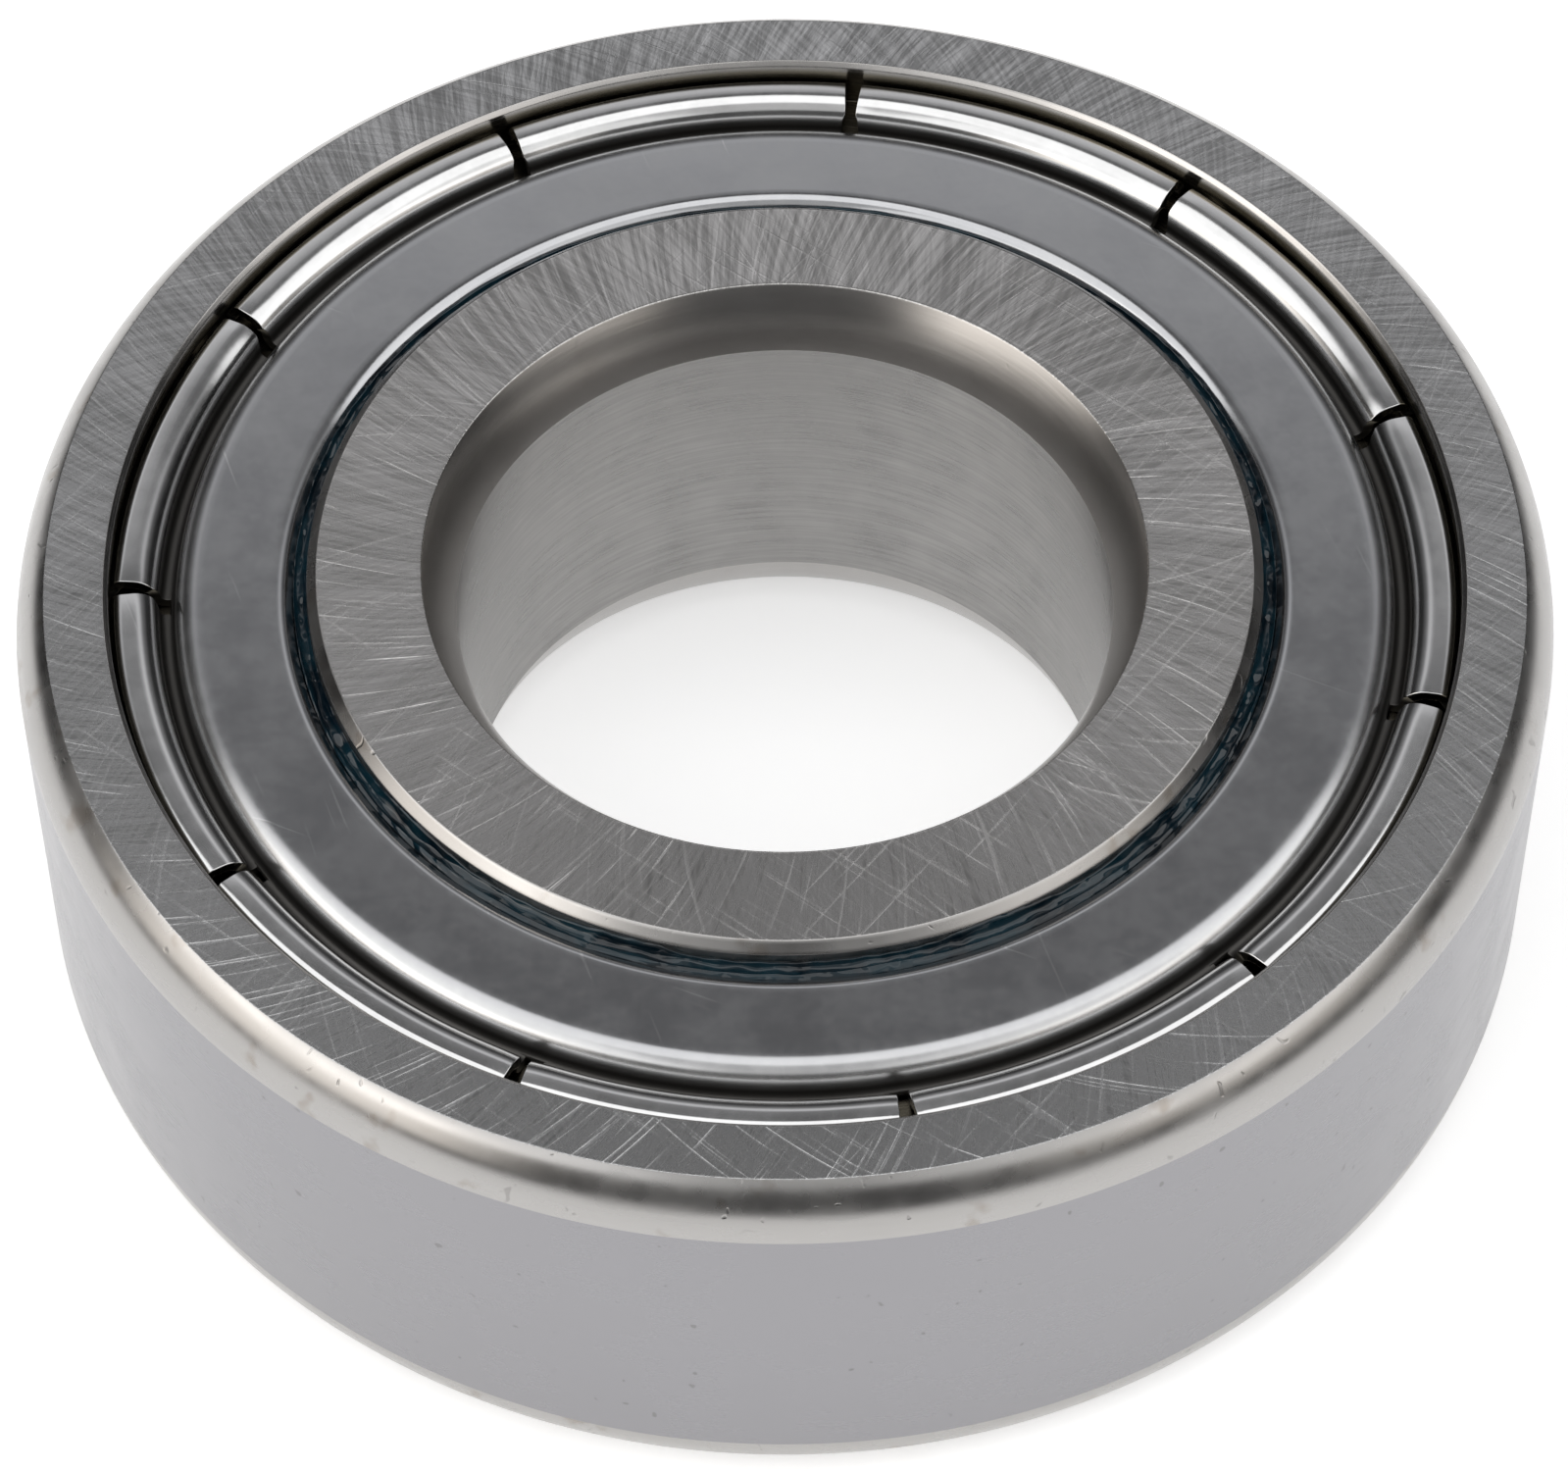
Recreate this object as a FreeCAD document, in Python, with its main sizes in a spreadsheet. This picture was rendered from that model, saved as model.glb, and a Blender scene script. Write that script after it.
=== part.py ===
"""Deep groove ball bearing, 15 x 35 x 11 mm, closed on both sides by a steel shield.

The bearing's centre is the origin and its axis of rotation is Z.  Each ring is a
turned profile with a ground raceway.  Each shield is a pressed disc whose rim is
curled into a groove of the outer ring and slotted all round.  The two halves of the
cage are pressed ribbons, riveted together between the balls.
"""
import FreeCAD, Part
import math
import os

import Sketcher

V = FreeCAD.Vector
UPRIGHT = FreeCAD.Rotation()
FLIPPED = FreeCAD.Rotation(V(1, 0, 0), 180)

# Driving dimensions in millimetres and degrees.  Depths are measured down from a
# side face of the bearing, and radii from its axis.
DIMENSIONS = {
    "bore_diameter": 15.0,
    "outer_diameter": 35.0,
    "bearing_width": 11.0,
    "outer_corner_radial": 0.73,
    "outer_corner_axial": 1.37,
    "outer_corner_radius": 1.66,
    "bore_corner_radial": 0.75,
    "bore_corner_axial": 1.52,
    "bore_corner_radius": 4.5,
    "ball_diameter": 5.953,
    "ball_count": 8,
    "pitch_diameter": 25.0,
    "raceway_radius": 3.1,
    "ball_clearance": 0.01,
    "inner_shoulder_radius": 10.85,
    "inner_edge_break": 0.22,
    "outer_land_radius": 14.0,
    "recess_radius": 15.33,
    "recess_edge_break": 0.1,
    "lip_depth": 0.5,
    "groove_radius": 15.54,
    "groove_depth": 0.85,
    "seat_depth": 1.45,
    "sheet_thickness": 0.25,
    "disc_depth": 0.465,
    "shield_bore_radius": 11.17,
    "lip_bend": 0.4,
    "lip_straight": 0.12,
    "shoulder_bend": 0.57,
    "valley_inner_radius": 13.885,
    "valley_width": 0.33,
    "curl_depth": 0.42,
    "curl_inner_bend": 0.58,
    "curl_flat": 0.22,
    "curl_outer_bend": 0.3,
    "leg_angle": 60.0,
    "leg_length": 0.42,
    "slot_count": 11,
    "slot_start_angle": 18.05,
    "slot_inner_radius": 14.0,
    "slot_root_radius": 14.2,
    "slot_root_width": 0.42,
    "slot_neck_radius": 14.33,
    "slot_neck_width": 0.24,
    "slot_outer_width": 0.54,
    "cage_sheet": 0.5,
    "pocket_clearance": 0.13,
    "cage_inner_radius": 11.35,
    "cage_outer_radius": 13.55,
    "rivet_radius": 0.42,
    "rivet_head_radius": 0.8,
    "rivet_head_height": 0.34,
    "rivet_hole_clearance": 0.01,
}


def make_sheet(doc):
    """The spreadsheet of driving dimensions, one name and one plain number a row."""
    sheet = doc.addObject("Spreadsheet::Sheet", "Dimensions")
    for row, (name, size) in enumerate(DIMENSIONS.items(), start=1):
        sheet.set("A%d" % row, name)
        sheet.set("B%d" % row, str(size))
        sheet.setAlias("B%d" % row, name)
    doc.recompute()
    return sheet


class Profile:
    """A closed outline in a sketch, every corner held by expressions of the sheet."""

    def __init__(self, body, name, plane, sheet):
        self.sheet = sheet
        self.sketch = body.newObject("Sketcher::SketchObject", name)
        planes = [f for f in body.Origin.OriginFeatures if f.Role == plane]
        self.sketch.AttachmentSupport = [(planes[0], "")]
        self.sketch.MapMode = "FlatFace"

    def number(self, formula):
        return float(self.sheet.evalExpression(formula))

    def bind(self, constraint, formula):
        index = self.sketch.addConstraint(constraint)
        self.sketch.setExpression("Constraints[%d]" % index, formula)

    def line(self, start, end):
        return self.sketch.addGeometry(Part.LineSegment(start, end)), 1, 2

    def arc(self, start, end, radius, turn):
        """An arc from start to end; turn is 1 where it turns left and -1 right."""
        chord = end - start
        middle = (start + end) * 0.5
        rise = math.sqrt(max(radius * radius - chord.Length ** 2 / 4, 0))
        across = V(-chord.y, chord.x, 0).normalize()
        centre = middle + across * (rise * turn)
        first, last = (start, end) if turn > 0 else (end, start)
        begin = math.atan2(first.y - centre.y, first.x - centre.x)
        finish = math.atan2(last.y - centre.y, last.x - centre.x)
        if finish < begin:
            finish += 2 * math.pi
        circle = Part.Circle(centre, V(0, 0, 1), radius)
        index = self.sketch.addGeometry(Part.ArcOfCircle(circle, begin, finish))
        return (index, 1, 2) if turn > 0 else (index, 2, 1)

    def outline(self, corners):
        """corners: (x, y) or (x, y, radius, turn) for an arc on to the next corner."""
        points = [V(self.number(c[0]), self.number(c[1]), 0) for c in corners]
        pieces = []
        for i, corner in enumerate(corners):
            start = points[i]
            end = points[(i + 1) % len(points)]
            if len(corner) == 2:
                pieces.append(self.line(start, end))
            else:
                pieces.append(self.arc(start, end, self.number(corner[2]), corner[3]))
        for i, corner in enumerate(corners):
            index, first, _ = pieces[i]
            before, _, last = pieces[i - 1]
            self.sketch.addConstraint(Sketcher.Constraint("Coincident", before, last, index, first))
            self.bind(Sketcher.Constraint("DistanceX", index, first, points[i].x), corner[0])
            self.bind(Sketcher.Constraint("DistanceY", index, first, points[i].y), corner[1])
            if len(corner) == 4:
                size = self.number(corner[2])
                self.bind(Sketcher.Constraint("Radius", index, size), corner[2])
        return self.sketch

    def circle(self, x, y, radius):
        centre = V(self.number(x), self.number(y), 0)
        size = self.number(radius)
        index = self.sketch.addGeometry(Part.Circle(centre, V(0, 0, 1), size))
        self.bind(Sketcher.Constraint("Radius", index, size), radius)
        self.bind(Sketcher.Constraint("DistanceX", index, 3, centre.x), x)
        self.bind(Sketcher.Constraint("DistanceY", index, 3, centre.y), y)
        return self.sketch

    def upright_axis(self, x):
        """A construction line parallel to the bearing's axis, at the distance x."""
        at = self.number(x)
        index = self.sketch.addGeometry(Part.LineSegment(V(at, 0, 0), V(at, 1, 0)), True)
        self.bind(Sketcher.Constraint("DistanceX", index, 1, at), x)
        self.sketch.addConstraint(Sketcher.Constraint("DistanceY", index, 1, 0.0))
        self.sketch.addConstraint(Sketcher.Constraint("Vertical", index))
        self.sketch.addConstraint(Sketcher.Constraint("DistanceY", index, 2, 1.0))


def make_body(doc, name, rotation=UPRIGHT):
    body = doc.addObject("PartDesign::Body", name)
    body.Label = name
    body.Placement = FreeCAD.Placement(V(0, 0, 0), rotation)
    return body


def turn(body, kind, sketch, axis="V_Axis"):
    """A full turn of a sketch about its axis: a Revolution adds, a Groove removes."""
    feature = body.newObject("PartDesign::" + kind, kind)
    feature.Profile = sketch
    feature.ReferenceAxis = (sketch, [axis])
    feature.Angle = 360
    sketch.Visibility = False
    return feature


def repeat(body, feature, sketch, count):
    """Copies of a feature, evenly spaced about the bearing's axis."""
    pattern = body.newObject("PartDesign::PolarPattern", "Pattern")
    pattern.Originals = [feature]
    pattern.Axis = (sketch, ["N_Axis"])
    pattern.Angle = 360
    pattern.setExpression("Occurrences", count)
    body.Tip = pattern
    return pattern


def cut_through(body, sketch):
    pocket = body.newObject("PartDesign::Pocket", "Pocket")
    pocket.Profile = sketch
    pocket.Type = "ThroughAll"
    pocket.Midplane = True
    sketch.Visibility = False
    return pocket


def volume_after(doc, body):
    doc.recompute()
    return body.Shape.Volume


def check_removed(doc, body, before, what):
    """Stop the build if a cut has taken nothing away."""
    after = volume_after(doc, body)
    if not after < before - 1e-4:
        raise RuntimeError("%s removed nothing from %s" % (what, body.Label))
    return after


def make_outer_ring(doc, sheet):
    """The outer ring: rounded corners, a stepped recess each side and its raceway."""
    body = make_body(doc, "outer_ring")
    face = "Dimensions.bearing_width / 2"
    rim = "Dimensions.outer_diameter / 2"
    land = "Dimensions.outer_land_radius"
    recess = "Dimensions.recess_radius"
    groove = "Dimensions.groove_radius"
    seat = "(%s - Dimensions.seat_depth)" % face
    under = "(%s - Dimensions.groove_depth)" % face
    lip = "(%s - Dimensions.lip_depth)" % face
    corner = "(%s - Dimensions.outer_corner_axial)" % face
    edge = "Dimensions.recess_edge_break"
    inset = rim + " - Dimensions.outer_corner_radial"
    curve = "Dimensions.outer_corner_radius"
    upper = [(land, seat), (groove, seat), (groove, under), (recess, lip),
             (recess, "%s - %s" % (face, edge)), ("%s + %s" % (recess, edge), face)]
    lower = [(x, "-(%s)" % z) for x, z in reversed(upper)]
    corners = lower + upper
    corners += [(inset, face, curve, -1), (rim, corner), (rim, "-" + corner, curve, -1),
                (inset, "-(%s)" % face)]
    profile = Profile(body, "OuterProfile", "XZ_Plane", sheet)
    turn(body, "Revolution", profile.outline(corners))
    before = volume_after(doc, body)
    raceway = Profile(body, "OuterRaceway", "XZ_Plane", sheet)
    centre = ("Dimensions.pitch_diameter / 2 + Dimensions.ball_diameter / 2"
              " + Dimensions.ball_clearance - Dimensions.raceway_radius")
    turn(body, "Groove", raceway.circle(centre, "0", "Dimensions.raceway_radius"))
    check_removed(doc, body, before, "the raceway")
    return body


def make_inner_ring(doc, sheet):
    """The inner ring: bore with long corners, narrow shoulders and its raceway."""
    body = make_body(doc, "inner_ring")
    face = "Dimensions.bearing_width / 2"
    bore = "Dimensions.bore_diameter / 2"
    shoulder = "Dimensions.inner_shoulder_radius"
    corner = "(%s - Dimensions.bore_corner_axial)" % face
    edge = "Dimensions.inner_edge_break"
    mouth = bore + " + Dimensions.bore_corner_radial"
    curve = "Dimensions.bore_corner_radius"
    corners = [(bore, "-" + corner), (bore, corner, curve, -1), (mouth, face),
               ("%s - %s" % (shoulder, edge), face), (shoulder, "%s - %s" % (face, edge)),
               (shoulder, "-(%s - %s)" % (face, edge)),
               ("%s - %s" % (shoulder, edge), "-(%s)" % face),
               (mouth, "-(%s)" % face, curve, -1)]
    profile = Profile(body, "InnerProfile", "XZ_Plane", sheet)
    turn(body, "Revolution", profile.outline(corners))
    before = volume_after(doc, body)
    raceway = Profile(body, "InnerRaceway", "XZ_Plane", sheet)
    centre = ("Dimensions.pitch_diameter / 2 - Dimensions.ball_diameter / 2"
              " - Dimensions.ball_clearance + Dimensions.raceway_radius")
    turn(body, "Groove", raceway.circle(centre, "0", "Dimensions.raceway_radius"))
    check_removed(doc, body, before, "the raceway")
    return body


def make_ball(doc, number):
    """One ball of the row, on the pitch circle."""
    name = "ball_%d" % number
    ball = doc.addObject("Part::Sphere", name)
    ball.Label = name
    angle = "(%d * 360deg / Dimensions.ball_count)" % (number - 1)
    ball.setExpression("Radius", "Dimensions.ball_diameter / 2")
    ball.setExpression(".Placement.Base.x", "Dimensions.pitch_diameter / 2 * cos(%s)" % angle)
    ball.setExpression(".Placement.Base.y", "Dimensions.pitch_diameter / 2 * sin(%s)" % angle)
    return ball


def shield_corners():
    """The bent strip of the shield: its outer surface out to the leg, then back inside."""
    sheet = "Dimensions.sheet_thickness"
    face = "Dimensions.bearing_width / 2"
    disc = "(%s - Dimensions.disc_depth)" % face
    curl = "(%s - Dimensions.curl_depth)" % face
    bore = "Dimensions.shield_bore_radius"
    lip = "Dimensions.lip_bend"
    lip_centre = "(%s - %s)" % (disc, lip)
    lip_end = "(%s - Dimensions.lip_straight)" % lip_centre
    bend = "Dimensions.shoulder_bend"
    wall = "Dimensions.valley_inner_radius"
    valley = "(Dimensions.valley_width / 2)"
    floor = "(%s - %s)" % (disc, bend)
    curl_wall = "(%s + Dimensions.valley_width)" % wall
    inner = "Dimensions.curl_inner_bend"
    outer = "Dimensions.curl_outer_bend"
    curl_start = "(%s + %s)" % (curl_wall, inner)
    curl_end = "(%s + Dimensions.curl_flat)" % curl_start
    sine = "sin(Dimensions.leg_angle * 1deg)"
    cosine = "cos(Dimensions.leg_angle * 1deg)"
    leg_x = "(%s + %s * %s)" % (curl_end, outer, sine)
    leg_z = "(%s - %s + %s * %s)" % (curl, outer, outer, cosine)
    foot_x = "(%s + Dimensions.leg_length * %s)" % (leg_x, cosine)
    foot_z = "(%s - Dimensions.leg_length * %s)" % (leg_z, sine)
    outside = [
        (bore, lip_end),
        (bore, lip_centre, lip, -1),
        ("%s + %s" % (bore, lip), disc),
        ("%s - %s" % (wall, bend), disc, bend, -1),
        (wall, floor, valley, 1),
        ("%s + %s" % (wall, valley), "%s - %s" % (floor, valley), valley, 1),
        (curl_wall, floor),
        (curl_wall, "%s - %s" % (curl, inner), inner, -1),
        (curl_start, curl),
        (curl_end, curl, outer, -1),
        (leg_x, leg_z),
        (foot_x, foot_z),
    ]
    inside = [
        ("%s - %s * %s" % (foot_x, sheet, sine), "%s - %s * %s" % (foot_z, sheet, cosine)),
        ("%s - %s * %s" % (leg_x, sheet, sine), "%s - %s * %s" % (leg_z, sheet, cosine),
         "%s - %s" % (outer, sheet), 1),
        (curl_end, "%s - %s" % (curl, sheet)),
        (curl_start, "%s - %s" % (curl, sheet), "%s - %s" % (inner, sheet), 1),
        ("%s + %s" % (curl_wall, sheet), "%s - %s" % (curl, inner)),
        ("%s + %s" % (curl_wall, sheet), floor, "%s + %s" % (valley, sheet), -1),
        ("%s + %s" % (wall, valley), "%s - %s - %s" % (floor, valley, sheet),
         "%s + %s" % (valley, sheet), -1),
        ("%s - %s" % (wall, sheet), floor, "%s - %s" % (bend, sheet), 1),
        ("%s - %s" % (wall, bend), "%s - %s" % (disc, sheet)),
        ("%s + %s" % (bore, lip), "%s - %s" % (disc, sheet), "%s - %s" % (lip, sheet), 1),
        ("%s + %s" % (bore, sheet), lip_centre),
        ("%s + %s" % (bore, sheet), lip_end),
    ]
    return outside + inside


def slot_corners():
    """One slot seen along the axis: a wide root, a narrow neck and widening sides."""
    middle = "(Dimensions.slot_start_angle * 1deg)"
    stations = [
        ("Dimensions.slot_inner_radius", "Dimensions.slot_root_width"),
        ("Dimensions.slot_root_radius", "Dimensions.slot_root_width"),
        ("Dimensions.slot_neck_radius", "Dimensions.slot_neck_width"),
        ("(Dimensions.groove_radius + 0.5)", "Dimensions.slot_outer_width"),
    ]
    corners = []
    for side, order in ((-1, stations), (1, reversed(stations))):
        for reach, width in order:
            half = "(%d * %s / 2)" % (side, width)
            corners.append(("%s * cos(%s) - %s * sin(%s)" % (reach, middle, half, middle),
                            "%s * sin(%s) + %s * cos(%s)" % (reach, middle, half, middle)))
    return corners


def make_shield(doc, sheet, name, rotation):
    """A pressed steel shield, slotted through its curled rim."""
    body = make_body(doc, name, rotation)
    strip = Profile(body, "Strip", "XZ_Plane", sheet)
    turn(body, "Revolution", strip.outline(shield_corners()))
    before = volume_after(doc, body)
    slot = Profile(body, "Slot", "XY_Plane", sheet)
    pocket = cut_through(body, slot.outline(slot_corners()))
    after = check_removed(doc, body, before, "one slot")
    repeat(body, pocket, slot.sketch, "Dimensions.slot_count")
    check_removed(doc, body, after, "the slots")
    return body


def make_cage_half(doc, sheet, name, rotation):
    """Half of the cage: a flat ribbon that rises over each ball in a round pocket."""
    body = make_body(doc, name, rotation)
    pitch = "Dimensions.pitch_diameter / 2"
    thick = "Dimensions.cage_sheet"
    narrow = "Dimensions.cage_inner_radius"
    wide = "Dimensions.cage_outer_radius"
    pocket = "(Dimensions.ball_diameter / 2 + Dimensions.pocket_clearance)"
    shell = "(%s + %s)" % (pocket, thick)
    count = "Dimensions.ball_count"

    ribbon = Profile(body, "Ribbon", "XY_Plane", sheet)
    ribbon.circle("0", "0", narrow)
    ribbon.circle("0", "0", wide)
    pad = body.newObject("PartDesign::Pad", "Pad")
    pad.Profile = ribbon.sketch
    pad.setExpression("Length", thick)
    ribbon.sketch.Visibility = False

    dome = quarter(body, "Dome", sheet, pitch, shell)
    bump = turn(body, "Revolution", dome, "Axis0")
    repeat(body, bump, ribbon.sketch, count)
    before = volume_after(doc, body)

    hollow = quarter(body, "Hollow", sheet, pitch, pocket)
    scoop = turn(body, "Groove", hollow, "Axis0")
    repeat(body, scoop, ribbon.sketch, count)
    before = check_removed(doc, body, before, "the ball pockets")

    for label, near, far in (("TrimIn", "%s - 3" % narrow, narrow), ("TrimOut", wide, "%s + 3" % wide)):
        trim = Profile(body, label, "XZ_Plane", sheet)
        top = "%s + 1" % shell
        turn(body, "Groove", trim.outline([(near, "-1"), (far, "-1"), (far, top), (near, top)]))
        before = check_removed(doc, body, before, label)

    hole = Profile(body, "RivetHole", "XY_Plane", sheet)
    spot = "(180deg / %s)" % count
    hole.circle("%s * cos(%s)" % (pitch, spot), "%s * sin(%s)" % (pitch, spot),
                "Dimensions.rivet_radius + Dimensions.rivet_hole_clearance")
    repeat(body, cut_through(body, hole.sketch), ribbon.sketch, count)
    check_removed(doc, body, before, "the rivet holes")
    return body


def quarter(body, name, sheet, pitch, radius):
    """A quarter disc at the pitch circle, with the ball's upright axis as its side."""
    profile = Profile(body, name, "XZ_Plane", sheet)
    profile.upright_axis(pitch)
    profile.outline([(pitch, "0"), ("%s + %s" % (pitch, radius), "0", radius, 1),
                     (pitch, radius)])
    return profile.sketch


def make_rivet(doc, sheet, number):
    """A rivet with a domed head on each half of the cage."""
    body = make_body(doc, "cage_rivet_%d" % number)
    shank = "Dimensions.rivet_radius"
    head = "Dimensions.rivet_head_radius"
    rise = "Dimensions.rivet_head_height"
    grip = "Dimensions.cage_sheet"
    crown = "(%s ^ 2 + %s ^ 2) / (2 * %s)" % (head, rise, rise)
    corners = [("0", "-(%s + %s)" % (grip, rise), crown, 1), (head, "-" + grip),
               (shank, "-" + grip), (shank, grip), (head, grip, crown, 1),
               ("0", "%s + %s" % (grip, rise))]
    profile = Profile(body, "RivetProfile", "XZ_Plane", sheet)
    turn(body, "Revolution", profile.outline(corners))
    angle = "((%d - 0.5) * 360deg / Dimensions.ball_count)" % number
    body.setExpression(".Placement.Base.x", "Dimensions.pitch_diameter / 2 * cos(%s)" % angle)
    body.setExpression(".Placement.Base.y", "Dimensions.pitch_diameter / 2 * sin(%s)" % angle)
    return body


def check_document(doc, parts):
    """Every object is computed, and every sub-part is one valid solid."""
    for item in doc.Objects:
        if "Invalid" in item.State or "Error" in item.State:
            raise RuntimeError("%s is not computed: %s" % (item.Label, item.State))
    for part in parts:
        shape = part.Shape
        if shape.isNull() or not shape.isValid() or len(shape.Solids) != 1:
            raise RuntimeError("%s is not one valid solid" % part.Label)


def main():
    doc = FreeCAD.newDocument("BallBearing")
    sheet = make_sheet(doc)
    count = DIMENSIONS["ball_count"]
    parts = [make_outer_ring(doc, sheet), make_inner_ring(doc, sheet)]
    parts += [make_ball(doc, number) for number in range(1, count + 1)]
    parts.append(make_cage_half(doc, sheet, "cage_half_upper", UPRIGHT))
    parts.append(make_cage_half(doc, sheet, "cage_half_lower", FLIPPED))
    parts += [make_rivet(doc, sheet, number) for number in range(1, count + 1)]
    parts.append(make_shield(doc, sheet, "shield_upper", UPRIGHT))
    parts.append(make_shield(doc, sheet, "shield_lower", FLIPPED))
    doc.recompute()
    check_document(doc, parts)
    os.makedirs("parts", exist_ok=True)
    for part in parts:
        part.Shape.exportStep("parts/%s.step" % part.Label)
        print("%-16s %9.3f mm3" % (part.Label, part.Shape.Volume))


main()
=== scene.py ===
"""A shielded deep groove ball bearing, 15 x 35 x 11 mm, on a pale studio floor.

Lengths are written in millimetres and turned into metres where meshes are made.
Radii are measured from the bearing's axis, which is Z.
"""

import math

import bmesh
import bpy
from mathutils import Euler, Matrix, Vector, noise


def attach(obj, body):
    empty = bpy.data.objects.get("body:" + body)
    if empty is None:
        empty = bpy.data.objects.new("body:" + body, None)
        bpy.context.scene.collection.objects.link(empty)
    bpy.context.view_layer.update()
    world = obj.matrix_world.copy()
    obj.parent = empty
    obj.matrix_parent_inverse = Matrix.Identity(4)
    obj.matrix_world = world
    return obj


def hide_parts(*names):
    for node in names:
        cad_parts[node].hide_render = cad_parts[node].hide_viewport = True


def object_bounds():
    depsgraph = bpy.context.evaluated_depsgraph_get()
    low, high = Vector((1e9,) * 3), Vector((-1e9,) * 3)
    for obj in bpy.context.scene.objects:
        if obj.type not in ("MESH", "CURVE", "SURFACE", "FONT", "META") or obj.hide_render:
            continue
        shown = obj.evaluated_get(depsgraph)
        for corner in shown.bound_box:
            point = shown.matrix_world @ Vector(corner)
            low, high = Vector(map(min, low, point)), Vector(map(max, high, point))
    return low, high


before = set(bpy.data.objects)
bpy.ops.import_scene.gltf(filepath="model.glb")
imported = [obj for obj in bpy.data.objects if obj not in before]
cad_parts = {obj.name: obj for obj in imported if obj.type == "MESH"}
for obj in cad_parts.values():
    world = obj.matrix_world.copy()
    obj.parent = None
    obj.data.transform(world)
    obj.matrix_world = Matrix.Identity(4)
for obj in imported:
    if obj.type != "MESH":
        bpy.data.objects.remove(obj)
cad_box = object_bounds()

MM = 0.001
FULL_TURN = 2 * math.pi

# Overall sizes and the cross-section of both rings.
HALF_WIDTH = 5.5
OUTER_RADIUS = 17.5
OUTER_CORNER = (0.73, 1.37, 1.66)      # radial, axial, arc radius
BORE_RADIUS = 7.5
BORE_CORNER = (0.75, 1.52, 4.5)
PITCH_RADIUS = 12.5
BALL_RADIUS = 2.9765
RACEWAY_RADIUS = 3.1
BALL_CLEARANCE = 0.01
INNER_SHOULDER = 10.85
INNER_EDGE_BREAK = 0.22
OUTER_LAND = 14.0
RECESS_RADIUS = 15.33
RECESS_EDGE_BREAK = 0.1
RECESS_DEPTH = 0.5
GROOVE_RADIUS = 15.54
GROOVE_DEPTH = 0.85
SEAT_DEPTH = 1.45

# The pressed shield.
SHEET = 0.25
DISC_DEPTH = 0.465
SHIELD_BORE = 11.17
LIP_BEND = 0.4
LIP_STRAIGHT = 0.12
SHOULDER_BEND = 0.57
VALLEY_RADIUS = 13.885
VALLEY_WIDTH = 0.33
CURL_DEPTH = 0.42
CURL_INNER_BEND = 0.58
CURL_FLAT = 0.22
CURL_OUTER_BEND = 0.3
LEG_ANGLE = math.radians(60)
LEG_LENGTH = 0.42
SLOT_COUNT = 11
SLOT_START = math.radians(18.05)
SLOT_INNER_RADIUS = 14.0
SLOT_STATIONS = ((14.0, 0.42), (14.2, 0.42), (14.33, 0.24), (16.04, 0.54))    # radius, width

# A tab's edge springs back a little beside its slot.
TAB_SPRING = 0.045
TAB_SPRING_REACH = 0.35
TAB_SPRING_OUT = 0.6
TAB_SPRING_DOWN = 0.5
TAB_SPRING_START = VALLEY_RADIUS + 0.2
TAB_SPRING_BLEND = 0.2

# How small edges are rounded.
GROUND_EDGE = 0.035
TURNED_EDGE = 0.03
TUMBLED_EDGE = 0.05

# How finely curves are divided.
RING_SEGMENTS = 384
TAB_COLUMNS = 32
TAB_CROWDING = 0.35
BEND_STEPS = 12
EDGE_STEPS = 3
OUTER_CORNER_STEPS = 16
BORE_CORNER_STEPS = 10
RACEWAY_STEPS = 14
LONGEST_STRETCH = 0.12


# ---------------------------------------------------------------- profiles

def arc_between(start, end, radius, side, steps):
    """Points from start to end along an arc; side 1 bulges to the left of the way."""
    chord = end - start
    rise = math.sqrt(max(radius * radius - chord.length_squared / 4, 0))
    across = Vector((-chord.y, chord.x)).normalized()
    centre = (start + end) / 2 - across * rise * side
    first = start - centre
    turn = math.atan2(first.x * (end - centre).y - first.y * (end - centre).x,
                      first.dot(end - centre))
    points = []
    for i in range(steps + 1):
        angle = turn * i / steps
        spin = Vector((first.x * math.cos(angle) - first.y * math.sin(angle),
                       first.x * math.sin(angle) + first.y * math.cos(angle)))
        points.append(centre + spin)
    return points


def fillet(before, corner, after, radius, steps, most=1.0):
    """Points that round a corner off with the radius, using most of each side at the most."""
    back = (before - corner).normalized()
    ahead = (after - corner).normalized()
    half = math.acos(max(-1.0, min(1.0, back.dot(ahead)))) / 2
    reach = radius / math.tan(half)
    reach = min(reach, most * (before - corner).length, most * (after - corner).length)
    radius = reach * math.tan(half)
    start = corner + back * reach
    end = corner + ahead * reach
    side = 1 if back.x * ahead.y - back.y * ahead.x > 0 else -1
    return arc_between(start, end, radius, side, steps)


def rounded_loop(corners):
    """A closed profile from (point, rounding, zone); zone is that of the next stretch."""
    loop = []
    count = len(corners)
    for i, (point, rounding, zone) in enumerate(corners):
        before = corners[i - 1][0]
        after = corners[(i + 1) % count][0]
        if rounding <= 0:
            loop.append((point, zone))
            continue
        arc = fillet(before, point, after, rounding, EDGE_STEPS, 0.45)
        for neighbour, tangent in ((before, arc[0]), (after, arc[-1])):
            gap = (neighbour - tangent).length
            support = tangent + (neighbour - tangent) * min(0.4, rounding / max(gap, 1e-6))
            if neighbour is before:
                loop.append((support, corners[i - 1][2]))
                loop += [(p, zone) for p in arc]
            else:
                loop.append((support, zone))
    return loop


def mirrored(half):
    """A full profile from its upper half, whose first and last points lie at z = 0."""
    lower = []
    for i in range(len(half) - 2, 0, -1):
        point, rounding, _ = half[i]
        lower.append((Vector((point.x, -point.y)), rounding, half[i - 1][2]))
    upper = half[:-1] + [(half[-1][0], 0, half[-2][2])]
    return upper + lower


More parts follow.
